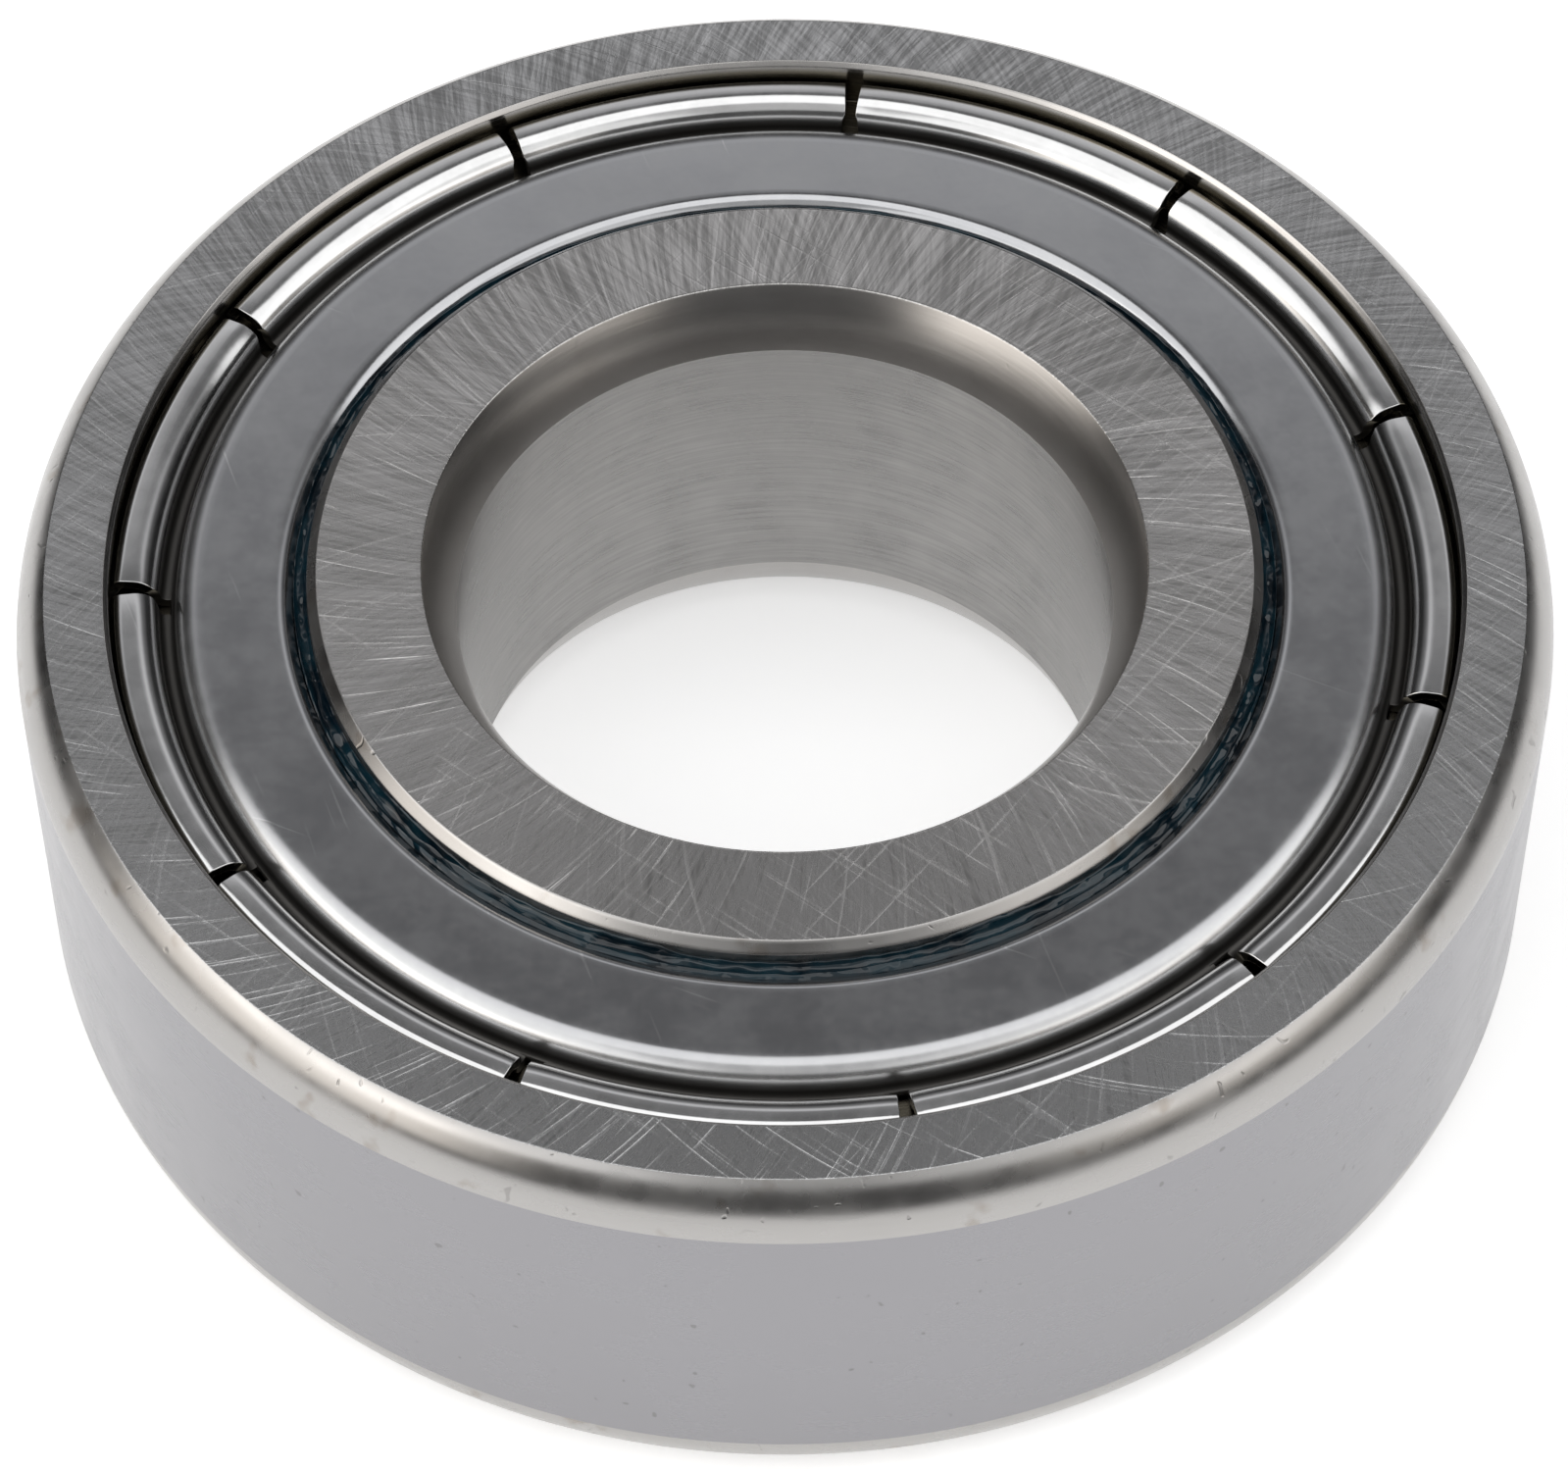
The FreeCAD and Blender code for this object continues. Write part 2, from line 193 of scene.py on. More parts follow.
def chain(*pieces):
    """Joins stretches of (points, zone, rounding); only a stretch's first point is rounded."""
    corners = []
    for points, zone, rounding in pieces:
        for k, point in enumerate(points):
            corners.append((Vector(point), rounding if k == 0 else 0, zone))
    return corners


def raceway(centre_radius, start_radius, end):
    """The raceway's arc in the upper half, from a shoulder to z = 0 at the angle end."""
    points = []
    start = math.acos((start_radius - centre_radius) / RACEWAY_RADIUS)
    for i in range(RACEWAY_STEPS + 1):
        angle = start + (end - start) * i / RACEWAY_STEPS
        points.append((centre_radius + RACEWAY_RADIUS * math.cos(angle),
                       RACEWAY_RADIUS * math.sin(angle)))
    return points


# The zones of a ring's profile, which are also its material numbers.
OUTSIDE, CORNER, FACE, RECESS, TRACK = range(5)


def outer_ring_profile():
    """The outer ring's section, up its outside, in over the face and down to the raceway."""
    radial, axial, curve = OUTER_CORNER
    top = HALF_WIDTH
    corner = arc_between(Vector((OUTER_RADIUS, top - axial)), Vector((OUTER_RADIUS - radial, top)),
                         curve, -1, OUTER_CORNER_STEPS)
    centre = PITCH_RADIUS + BALL_RADIUS + BALL_CLEARANCE - RACEWAY_RADIUS
    track = raceway(centre, OUTER_LAND, 0)
    half = chain(
        ([(OUTER_RADIUS, 0)], OUTSIDE, 0),
        (corner[:-1], CORNER, 0),
        ([corner[-1]], FACE, GROUND_EDGE),
        ([(RECESS_RADIUS + RECESS_EDGE_BREAK, top)], RECESS, TURNED_EDGE),
        ([(RECESS_RADIUS, top - RECESS_EDGE_BREAK)], RECESS, TURNED_EDGE),
        ([(RECESS_RADIUS, top - RECESS_DEPTH)], RECESS, TURNED_EDGE),
        ([(GROOVE_RADIUS, top - GROOVE_DEPTH)], RECESS, TURNED_EDGE),
        ([(GROOVE_RADIUS, top - SEAT_DEPTH)], RECESS, TURNED_EDGE),
        ([(OUTER_LAND, top - SEAT_DEPTH)], TRACK, TURNED_EDGE),
        ([track[0]], TRACK, TURNED_EDGE),
        (track[1:], TRACK, 0),
    )
    return rounded_loop(mirrored(half))


def inner_ring_profile():
    """The inner ring's section, up its bore, out over the face and down to the raceway."""
    radial, axial, curve = BORE_CORNER
    top = HALF_WIDTH
    corner = arc_between(Vector((BORE_RADIUS, top - axial)), Vector((BORE_RADIUS + radial, top)),
                         curve, 1, BORE_CORNER_STEPS)
    centre = PITCH_RADIUS - BALL_RADIUS - BALL_CLEARANCE + RACEWAY_RADIUS
    track = raceway(centre, INNER_SHOULDER, math.pi)
    half = chain(
        ([(BORE_RADIUS, 0)], OUTSIDE, 0),
        ([corner[0]], CORNER, TUMBLED_EDGE),
        (corner[1:-1], CORNER, 0),
        ([corner[-1]], FACE, GROUND_EDGE),
        ([(INNER_SHOULDER - INNER_EDGE_BREAK, top)], RECESS, TUMBLED_EDGE),
        ([(INNER_SHOULDER, top - INNER_EDGE_BREAK)], RECESS, TUMBLED_EDGE),
        ([track[0]], TRACK, TURNED_EDGE),
        (track[1:], TRACK, 0),
    )
    return rounded_loop(mirrored(half))


# ---------------------------------------------------------------- meshes

def finish_mesh(name, mesh, body, node=None):
    """Makes the mesh a smooth shaded piece that rides on a body."""
    made = bmesh.new()
    made.from_mesh(mesh)
    bmesh.ops.remove_doubles(made, verts=made.verts, dist=1e-7)
    bmesh.ops.recalc_face_normals(made, faces=made.faces)
    made.to_mesh(mesh)
    made.free()
    mesh.polygons.foreach_set("use_smooth", [True] * len(mesh.polygons))
    piece = bpy.data.objects.new(name, mesh)
    bpy.context.scene.collection.objects.link(piece)
    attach(piece, body)
    if node:
        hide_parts(node)
    return piece


def lathe(name, loop, materials):
    """A closed profile of (point, zone) turned about Z; zones are material numbers."""
    verts, faces, zones = [], [], []
    count = len(loop)
    for k in range(RING_SEGMENTS):
        angle = FULL_TURN * k / RING_SEGMENTS
        cosine, sine = math.cos(angle), math.sin(angle)
        verts += [(p.x * cosine * MM, p.x * sine * MM, p.y * MM) for p, _ in loop]
    for k in range(RING_SEGMENTS):
        here, there = k * count, (k + 1) % RING_SEGMENTS * count
        for i, (_, zone) in enumerate(loop):
            j = (i + 1) % count
            faces.append((here + i, there + i, there + j, here + j))
            zones.append(zone)
    mesh = bpy.data.meshes.new(name)
    mesh.from_pydata(verts, [], faces)
    for material in materials:
        mesh.materials.append(material)
    mesh.polygons.foreach_set("material_index", zones)
    return mesh


def bent_path(corners, steps):
    """An open path through (point, bend radius) corners, its bends rounded."""
    path = [corners[0][0]]
    for i in range(1, len(corners) - 1):
        point, radius = corners[i]
        path += fillet(corners[i - 1][0], point, corners[i + 1][0], radius, steps)
    path.append(corners[-1][0])
    clean = [path[0]]
    for point in path[1:]:
        if (point - clean[-1]).length > 1e-4:
            clean.append(point)
    return clean


def densified(path, longest):
    """The path with its long straight runs divided."""
    points = [path[0]]
    for a, b in zip(path, path[1:]):
        pieces = max(1, math.ceil((b - a).length / longest))
        points += [a + (b - a) * k / pieces for k in range(1, pieces + 1)]
    return points


def offset_path(path, distance):
    """The path moved to its right by the distance."""
    moved = []
    for i, point in enumerate(path):
        before = path[max(i - 1, 0)]
        after = path[min(i + 1, len(path) - 1)]
        ahead = (after - before).normalized()
        moved.append(point + Vector((ahead.y, -ahead.x)) * distance)
    return moved


def shield_path():
    """The outer surface of the shield, from the lip at its bore to the foot of the curl."""
    top = HALF_WIDTH
    disc = top - DISC_DEPTH
    lip_end = disc - LIP_BEND - LIP_STRAIGHT
    floor = disc - SHOULDER_BEND - VALLEY_WIDTH / 2
    curl = top - CURL_DEPTH
    curl_wall = VALLEY_RADIUS + VALLEY_WIDTH
    knee = curl_wall + CURL_INNER_BEND + CURL_FLAT + CURL_OUTER_BEND * math.tan(LEG_ANGLE / 2)
    leg = LEG_LENGTH + CURL_OUTER_BEND * math.tan(LEG_ANGLE / 2)
    foot = Vector((knee + leg * math.cos(LEG_ANGLE), curl - leg * math.sin(LEG_ANGLE)))
    corners = [
        (Vector((SHIELD_BORE, lip_end)), 0),
        (Vector((SHIELD_BORE, disc)), LIP_BEND),
        (Vector((VALLEY_RADIUS, disc)), SHOULDER_BEND),
        (Vector((VALLEY_RADIUS, floor)), VALLEY_WIDTH / 2),
        (Vector((curl_wall, floor)), VALLEY_WIDTH / 2),
        (Vector((curl_wall, curl)), CURL_INNER_BEND),
        (Vector((knee, curl)), CURL_OUTER_BEND),
        (foot, 0),
    ]
    return densified(bent_path(corners, BEND_STEPS), LONGEST_STRETCH)


def slot_start_index(path):
    """Where along the path the slots begin: in the bottom of the valley."""
    for i, point in enumerate(path):
        if point.x >= SLOT_INNER_RADIUS:
            return i
    return len(path) - 1


def slot_half_angle(radius):
    """Half of a slot's width at the radius, as an angle."""
    width = SLOT_STATIONS[0][1]
    for (near, narrow), (far, wide) in zip(SLOT_STATIONS, SLOT_STATIONS[1:]):
        if radius > near:
            width = narrow + (wide - narrow) * min(1.0, (radius - near) / (far - near))
    return width / 2 / radius


def tab_ease(column, radius):
    """How far the edge of a tab springs back beside a slot; column may lie between columns."""
    pitch = FULL_TURN / SLOT_COUNT * radius
    away = min(column, TAB_COLUMNS - column) / TAB_COLUMNS * pitch
    return TAB_SPRING * math.exp(-away / TAB_SPRING_REACH)


def tab_share(column):
    """How far across a tab a column lies; columns are closer together beside the slots."""
    share = column / TAB_COLUMNS
    ease = 3 * share ** 2 - 2 * share ** 3
    return TAB_CROWDING * ease + (1 - TAB_CROWDING) * share


def shield_mesh(name, material, flip):
    """The slotted shield as one closed strip of sheet, turned about Z tab by tab."""
    path = shield_path()
    under = offset_path(path, SHEET)
    first_slot = slot_start_index(path)
    columns = TAB_COLUMNS + 1
    per_row = SLOT_COUNT * columns
    verts = []
    for side in (path, under):
        for i, point in enumerate(side):
            half = slot_half_angle(max(path[i].x, SLOT_INNER_RADIUS))
            lift = max(0.0, min(1.0, (path[i].x - TAB_SPRING_START) / TAB_SPRING_BLEND))
            for tab in range(SLOT_COUNT):
                start = SLOT_START + FULL_TURN * tab / SLOT_COUNT
                span = FULL_TURN / SLOT_COUNT - 2 * half
                for c in range(columns):
                    share = tab_share(c)
                    angle = (start + half + span * share) * flip
                    shift = tab_ease(share * TAB_COLUMNS, point.x) * lift
                    radius = (point.x + shift * TAB_SPRING_OUT) * MM
                    height = (point.y - shift * TAB_SPRING_DOWN) * MM * flip
                    verts.append((radius * math.cos(angle), radius * math.sin(angle), height))
    rows = len(path)
    layer = rows * per_row
    faces = []

    def at(side, i, column):
        return side * layer + i * per_row + column % per_row

    for i in range(rows - 1):
        for column in range(per_row):
            in_slot = column % columns == TAB_COLUMNS
            if in_slot and i >= first_slot:
                continue
            for side in (0, 1):
                faces.append((at(side, i, column), at(side, i, column + 1),
                              at(side, i + 1, column + 1), at(side, i + 1, column)))
    for column in range(per_row):
        in_slot = column % columns == TAB_COLUMNS
        ends = [0, rows - 1]
        if in_slot:
            ends = [0, first_slot]
        for i in ends:
            faces.append((at(0, i, column), at(0, i, column + 1),
                          at(1, i, column + 1), at(1, i, column)))
        if column % columns in (0, TAB_COLUMNS):
            for i in range(first_slot, rows - 1):
                faces.append((at(0, i, column), at(0, i + 1, column),
                              at(1, i + 1, column), at(1, i, column)))
    mesh = bpy.data.meshes.new(name)
    mesh.from_pydata(verts, [], faces)
    mesh.materials.append(material)
    return mesh


def soften(piece, width, degrees, segments):
    """Rounds the piece's sharp edges a little."""
    bevel = piece.modifiers.new("soft_edges", "BEVEL")
    bevel.width = width * MM
    bevel.segments = segments
    bevel.limit_method = "ANGLE"
    bevel.angle_limit = math.radians(degrees)
    bevel.harden_normals = True


# ---------------------------------------------------------------- material nodes

class Nodes:
    """Short ways to add and link the nodes of one tree."""

    def __init__(self, owner):
        owner.use_nodes = True
        self.tree = owner.node_tree
        self.tree.nodes.clear()
        self.links = self.tree.links

    def feed(self, value, socket):
        if isinstance(value, bpy.types.NodeSocket):
            self.links.new(value, socket)
        else:
            socket.default_value = value

    def math(self, operation, a, b=0.0, c=0.0, clamp=False):
        node = self.tree.nodes.new("ShaderNodeMath")
        node.operation = operation
        node.use_clamp = clamp
        for value, socket in zip((a, b, c), node.inputs):
            self.feed(value, socket)
        return node.outputs[0]

    def vector(self, operation, vector, scale=1.0):
        """LENGTH, NORMALIZE or SCALE of a vector; only the last one uses the scale."""
        node = self.tree.nodes.new("ShaderNodeVectorMath")
        node.operation = operation
        self.feed(vector, node.inputs[0])
        if operation == "SCALE":
            self.feed(scale, node.inputs["Scale"])
        return node.outputs["Value"] if operation == "LENGTH" else node.outputs[0]

    def split(self, vector):
        node = self.tree.nodes.new("ShaderNodeSeparateXYZ")
        self.feed(vector, node.inputs[0])
        return node.outputs

    def join(self, x, y, z):
        node = self.tree.nodes.new("ShaderNodeCombineXYZ")
        for value, socket in zip((x, y, z), node.inputs):
            self.feed(value, socket)
        return node.outputs[0]

    def spin(self, vector, angle):
        node = self.tree.nodes.new("ShaderNodeVectorRotate")
        node.rotation_type = "Z_AXIS"
        self.feed(vector, node.inputs["Vector"])
        self.feed(angle, node.inputs["Angle"])
        return node.outputs[0]

    def noise(self, vector, scale=1.0, detail=2.0, roughness=0.5, distortion=0.0):
        node = self.tree.nodes.new("ShaderNodeTexNoise")
        self.feed(vector, node.inputs["Vector"])
        node.inputs["Scale"].default_value = scale
        node.inputs["Detail"].default_value = detail
        node.inputs["Roughness"].default_value = roughness
        node.inputs["Distortion"].default_value = distortion
        return node.outputs["Fac"]

    def range(self, value, low, high, new_low=0.0, new_high=1.0):
        """The value's stretch from low to high, smoothly mapped and clamped."""
        node = self.tree.nodes.new("ShaderNodeMapRange")
        node.interpolation_type = "SMOOTHSTEP"
        for number, socket in zip((value, low, high, new_low, new_high), node.inputs):
            self.feed(number, socket)
        return node.outputs[0]

    def mix(self, share, a, b):
        node = self.tree.nodes.new("ShaderNodeMix")
        node.data_type = "RGBA"
        self.feed(share, node.inputs["Factor"])
        self.feed(a, node.inputs[6])
        self.feed(b, node.inputs[7])
        return node.outputs[2]

    def bump(self, height, distance, strength=1.0, normal=None):
        node = self.tree.nodes.new("ShaderNodeBump")
        self.feed(height, node.inputs["Height"])
        node.inputs["Distance"].default_value = distance * MM
        node.inputs["Strength"].default_value = strength
        if normal is not None:
            self.feed(normal, node.inputs["Normal"])
        return node.outputs[0]


HOOP_RADIUS = 10.0      # where the lines of hoops have their true length


class Shader(Nodes):
    """One material, with a Principled surface."""

    def __init__(self, name):
        self.material = bpy.data.materials.new(name)
        super().__init__(self.material)
        output = self.tree.nodes.new("ShaderNodeOutputMaterial")
        self.surface = self.tree.nodes.new("ShaderNodeBsdfPrincipled")
        self.links.new(self.surface.outputs[0], output.inputs["Surface"])

    def place(self):
        """The point on the piece in millimetres."""
        node = self.tree.nodes.new("ShaderNodeTexCoord")
        return self.vector("SCALE", node.outputs["Object"], scale=1 / MM)

    def polar(self):
        """The point, its radius, its direction from the axis and its height."""
        point = self.place()
        x, y, z = self.split(point)
        flat = self.join(x, y, 0.0)
        return point, self.vector("LENGTH", flat), self.vector("NORMALIZE", flat), z

    def swirl(self, polar, middle, lean, across, along):
        """A vector whose noise makes lines that lean from the radius by the angle lean.

        across is the number of cells in a millimetre across the lines, along that
        along them, both at the radius called middle."""
        _, radius, direction, _ = polar
        rate = math.tan(math.radians(lean)) / middle
        angle = self.math("MULTIPLY", self.math("SUBTRACT", radius, middle), rate)
        turned = self.vector("SCALE", self.spin(direction, angle), scale=across * middle)
        x, y, _ = self.split(turned)
        return self.join(x, y, self.math("MULTIPLY", radius, along))

    def hatch(self, polar, degrees, across, along):
        """A vector whose noise makes straight lines at an angle across the whole piece."""
        x, y, z = self.split(self.spin(polar[0], math.radians(degrees)))
        return self.join(self.math("MULTIPLY", x, along), self.math("MULTIPLY", y, across), z)

    def hoops(self, polar, across, along):
        """A vector whose noise makes lines that run round the axis."""
        _, radius, direction, height = polar
        x, y, _ = self.split(self.vector("SCALE", direction, scale=along * HOOP_RADIUS))
        both = self.math("ADD", self.math("MULTIPLY", radius, across),
                         self.math("MULTIPLY", height, across))
        return self.join(x, y, both)


def metal(shader, colour, roughness, anisotropic=0.0, rotation=0.0):
    """Finishes a metal; anisotropic spreads the gloss round the axis, or with a
    rotation of a quarter across that."""
    surface = shader.surface
    surface.inputs["Metallic"].default_value = 1.0
    surface.inputs["Anisotropic"].default_value = anisotropic
    surface.inputs["Anisotropic Rotation"].default_value = rotation
    shader.feed(colour, surface.inputs["Base Color"])
    shader.feed(roughness, surface.inputs["Roughness"])
    if anisotropic:
        node = shader.tree.nodes.new("ShaderNodeTangent")
        node.direction_type = "RADIAL"
        node.axis = "Z"
        shader.links.new(node.outputs[0], surface.inputs["Tangent"])
    return shader.material


def grey(level, warmth=0.0):
    """A grey whose red and blue move apart with its warmth."""
    return (level * (1 + warmth), level, level * (1 - warmth), 1.0)


def ground_face(name, middle, level, warmth, lean, hatch_share, edges):
    """A ground side face: crossing fine scratches, a few deep ones and worn edges."""
    shader = Shader(name)
    polar = shader.polar()
    radius = polar[1]
    fine = shader.noise(shader.swirl(polar, middle, lean, 7.5, 0.36), detail=3, roughness=0.7)
    cross = shader.noise(shader.swirl(polar, middle, -lean * 1.7, 8.0, 0.32), detail=2)
    grain = shader.noise(shader.swirl(polar, middle, lean * 0.4, 20.0, 0.7), detail=2)
    cloud = shader.noise(polar[0], scale=0.22, detail=2)
    patch = shader.range(shader.noise(polar[0], scale=0.3, detail=1), 0.44, 0.58)
    right = shader.range(shader.split(polar[2])[0], 0.35, 0.9)
    hatched = shader.math("MAXIMUM", patch, right)
    deep_a = shader.noise(shader.swirl(polar, middle, lean * 1.3, 10.0, 0.26), detail=1)
    deep_b = shader.noise(shader.swirl(polar, middle, -lean * 2.2, 9.0, 0.2), detail=1)
    deep_c = shader.noise(shader.hatch(polar, 38, 10.0, 0.2), detail=1)
    deep_d = shader.noise(shader.hatch(polar, -52, 10.0, 0.22), detail=1)
    deep = shader.math("ADD", shader.range(deep_a, 0.6, 0.76),
                       shader.math("MULTIPLY", shader.range(deep_b, 0.63, 0.8), 0.8))
    crossing = shader.math("ADD", shader.range(deep_c, 0.58, 0.78), shader.range(deep_d, 0.59, 0.78))
    crossing = shader.math("MULTIPLY", crossing, hatch_share)
    deep = shader.math("ADD", deep, shader.math("MULTIPLY", crossing, hatched), clamp=True)
    tone = shader.math("MULTIPLY", shader.range(fine, 0.36, 0.64), 0.46)
    tone = shader.math("MULTIPLY_ADD", shader.range(cross, 0.34, 0.66), 0.22, tone)
    tone = shader.math("MULTIPLY_ADD", shader.range(grain, 0.34, 0.66), 0.16, tone)
    tone = shader.math("MULTIPLY_ADD", shader.range(cloud, 0.34, 0.66), 0.16, tone)
    low, high = edges
    worn = shader.math("ADD", shader.range(radius, low + 0.16, low, 0.0, 1.0),
                       shader.range(radius, high - 0.1, high, 0.0, 1.0), clamp=True)
    colour = shader.mix(tone, grey(level * 0.52, warmth), grey(level * 1.5, warmth))
    colour = shader.mix(shader.math("MULTIPLY", deep, 0.4), colour, grey(level * 1.9, warmth))
    colour = shader.mix(shader.math("MULTIPLY", worn, 0.25), colour, grey(level * 0.8, warmth * 2))
    rough = shader.range(tone, 0.2, 0.8, 0.29, 0.21)
    height = shader.math("ADD", shader.math("MULTIPLY", fine, 0.6), shader.math("MULTIPLY", cross, 0.4))
    height = shader.math("SUBTRACT", height, shader.math("MULTIPLY", deep, 0.6))
    normal = shader.bump(height, 0.006, 0.9)
    shader.feed(normal, shader.surface.inputs["Normal"])
    return metal(shader, colour, rough, 0.45)


def ground_outside(name, level):
    """The cylindrical outside: a fine, nearly even grind that runs round the ring."""
    shader = Shader(name)
    polar = shader.polar()
    rings = shader.noise(shader.hoops(polar, 14.0, 0.5), detail=2, roughness=0.6)
    cloud = shader.noise(polar[0], scale=0.5, detail=3, roughness=0.6)
    speck = shader.noise(polar[0], scale=3.2, detail=1)
    tone = shader.math("ADD", shader.math("MULTIPLY", rings, 0.35),
                       shader.math("MULTIPLY", cloud, 0.65))
    colour = shader.mix(tone, (level * 0.93, level * 0.92, level * 0.96, 1),
                        (level * 1.05, level * 1.04, level * 1.1, 1))
    colour = shader.mix(shader.range(speck, 0.74, 0.8, 0.0, 0.5), colour, grey(level * 0.5, 0.03))
    rough = shader.range(tone, 0.3, 0.7, 0.22, 0.3)
    shader.feed(shader.bump(rings, 0.0012, 0.6), shader.surface.inputs["Normal"])
    return metal(shader, colour, rough, 0.4, 0.25)


def tumbled_corner(name, level, warmth, marks):
    """A rounded corner: satin, a little warm, with small nicks and faint stains."""
    shader = Shader(name)
    polar = shader.polar()
    rings = shader.noise(shader.hoops(polar, 6.0, 0.4), detail=2)
    cloud = shader.noise(polar[0], scale=0.6, detail=3, roughness=0.6)
    nick = shader.noise(polar[0], scale=2.6, detail=1, distortion=0.6)
    stain = shader.range(shader.noise(polar[0], scale=0.9, detail=3), 0.6, 0.72)
    nick_mask = shader.range(nick, 0.7, 0.78)
    tone = shader.math("ADD", shader.math("MULTIPLY", rings, 0.4),
                       shader.math("MULTIPLY", cloud, 0.6))
    colour = shader.mix(tone, grey(level * 0.85, warmth), grey(level * 1.12, warmth * 0.6))
    colour = shader.mix(shader.math("MULTIPLY", stain, 0.45 * marks), colour,
                        (level * 0.62, level * 0.52, level * 0.42, 1))
    colour = shader.mix(shader.math("MULTIPLY", nick_mask, 0.5 * marks), colour,
                        grey(level * 0.55, warmth))
    rough = shader.range(tone, 0.3, 0.7, 0.25 - 0.05 * marks, 0.25 + 0.09 * marks)
    height = shader.math("SUBTRACT", shader.math("MULTIPLY", rings, 0.3),
                         shader.math("MULTIPLY", nick_mask, marks))
    normal = shader.bump(height, 0.008, 0.7)
    shader.feed(normal, shader.surface.inputs["Normal"])
    return metal(shader, colour, rough, 0.2, 0.25)


# Painted shade: a dark brown for deep in the outer ring's recess and a dark grey for the shield's
# valley.
RECESS_SHADE = (0.14, 0.127, 0.1, 1)
VALLEY_SHADE = (0.08, 0.077, 0.073, 1)


def depth_below_face(shader, height):
    """How far a point lies below the nearer face of the rings, in millimetres."""
    return shader.math("SUBTRACT", HALF_WIDTH, shader.math("ABSOLUTE", height))


def turned_steel(name, level, warmth, roughness, spread=0.5, painted_depth_shade=False):
    """Turned or ground surfaces with fine rings round the axis; one may get painted shade that darkens
    it deeper below the face.
    """
    shader = Shader(name)
    polar = shader.polar()
    rings = shader.noise(shader.hoops(polar, 11.0, 0.25), detail=3, roughness=0.7)
    cloud = shader.noise(polar[0], scale=0.8, detail=2)
    tone = shader.math("MULTIPLY", shader.range(rings, 0.34, 0.66), 0.32)
    tone = shader.math("MULTIPLY_ADD", cloud, 0.68, tone)
    colour = shader.mix(tone, grey(level * 0.62, warmth), grey(level * 1.36, warmth))
    if painted_depth_shade:
        # Painted shade: the surface darkens from 0.1 to 0.3 mm below the face.
        depth = depth_below_face(shader, polar[3])
        colour = shader.mix(shader.range(depth, 0.1, 0.3), colour, RECESS_SHADE)
    rough = shader.range(tone, 0.3, 0.7, roughness * 0.9, roughness * 1.15)
    shader.feed(shader.bump(rings, 0.002, 0.7), shader.surface.inputs["Normal"])
    return metal(shader, colour, rough, spread, 0.25)


def rolled_sheet(name, level):
    """The shield's rolled sheet: a dull cloudy flat, a rim painted lighter as a highlight and a valley
    darkened as painted shade.
    """
    shader = Shader(name)
    polar = shader.polar()
    radius = polar[1]
    cloud = shader.noise(polar[0], scale=0.55, detail=4, roughness=0.6)
    blotch = shader.noise(polar[0], scale=1.6, detail=3, roughness=0.7)
    wave = shader.noise(polar[0], scale=0.3, detail=1)
    fine = shader.noise(shader.hatch(polar, 62, 8.0, 0.3), detail=2)
    hair_a = shader.noise(shader.hatch(polar, 71, 4.5, 0.2), detail=1)
    hair_b = shader.noise(shader.hatch(polar, 24, 4.5, 0.2), detail=1)
    hair = shader.math("ADD", shader.range(hair_a, 0.72, 0.8), shader.range(hair_b, 0.73, 0.82),
                       clamp=True)
    flat = shader.range(radius, 13.3, 13.9, 1.0, 0.0)
    tone = shader.math("ADD", shader.math("MULTIPLY", shader.range(cloud, 0.33, 0.67), 0.6),
                       shader.math("MULTIPLY", shader.range(blotch, 0.3, 0.7), 0.4))
    dull = shader.mix(tone, (level * 0.92, level * 0.93, level * 0.96, 1),
                      (level * 1.05, level * 1.06, level * 1.08, 1))
    dull = shader.mix(shader.math("MULTIPLY", hair, 0.4), dull, grey(level * 1.6))
    # Painted highlight: the shoulder and curl get a lighter colour than the flat.
    bright = shader.mix(tone, grey(level * 1.3), grey(level * 1.5))
    colour = shader.mix(flat, bright, dull)
    depth = depth_below_face(shader, polar[3])
    # Painted shade: the bottom of the valley beside the curl is darkened, and made rougher too.
    shaded_valley = shader.math("MULTIPLY", shader.range(depth, 0.66, 1.02), shader.range(radius, 13.6, 13.75))
    colour = shader.mix(shaded_valley, colour, VALLEY_SHADE)
    rough = shader.range(tone, 0.0, 1.0, 0.14, 0.18)
    rough = shader.math("MULTIPLY_ADD", shaded_valley, 0.3, rough)
    bend = shader.math("MULTIPLY", shader.range(radius, 13.15, 13.5), shader.range(radius, 13.95, 13.9))
    rough = shader.math("MULTIPLY_ADD", bend, 0.09, rough)
    height = shader.math("ADD", shader.math("MULTIPLY", fine, 0.25),
                         shader.math("MULTIPLY", blotch, 0.4))
    height = shader.math("SUBTRACT", height, shader.math("MULTIPLY", hair, 0.7))
    ripple = shader.bump(wave, 0.02, 0.5)
    normal = shader.bump(height, 0.0012, 0.8, ripple)
    shader.feed(normal, shader.surface.inputs["Normal"])
    return metal(shader, colour, rough)


def polished_ball(name):
    """Polished ball steel with a hardly visible cloudiness."""
    shader = Shader(name)
    point = shader.place()
    cloud = shader.noise(point, scale=0.7, detail=3)
    colour = shader.mix(cloud, grey(0.56), grey(0.68))
    rough = shader.range(cloud, 0.3, 0.7, 0.05, 0.1)
    shader.feed(shader.bump(cloud, 0.001, 0.3), shader.surface.inputs["Normal"])
    return metal(shader, colour, rough)


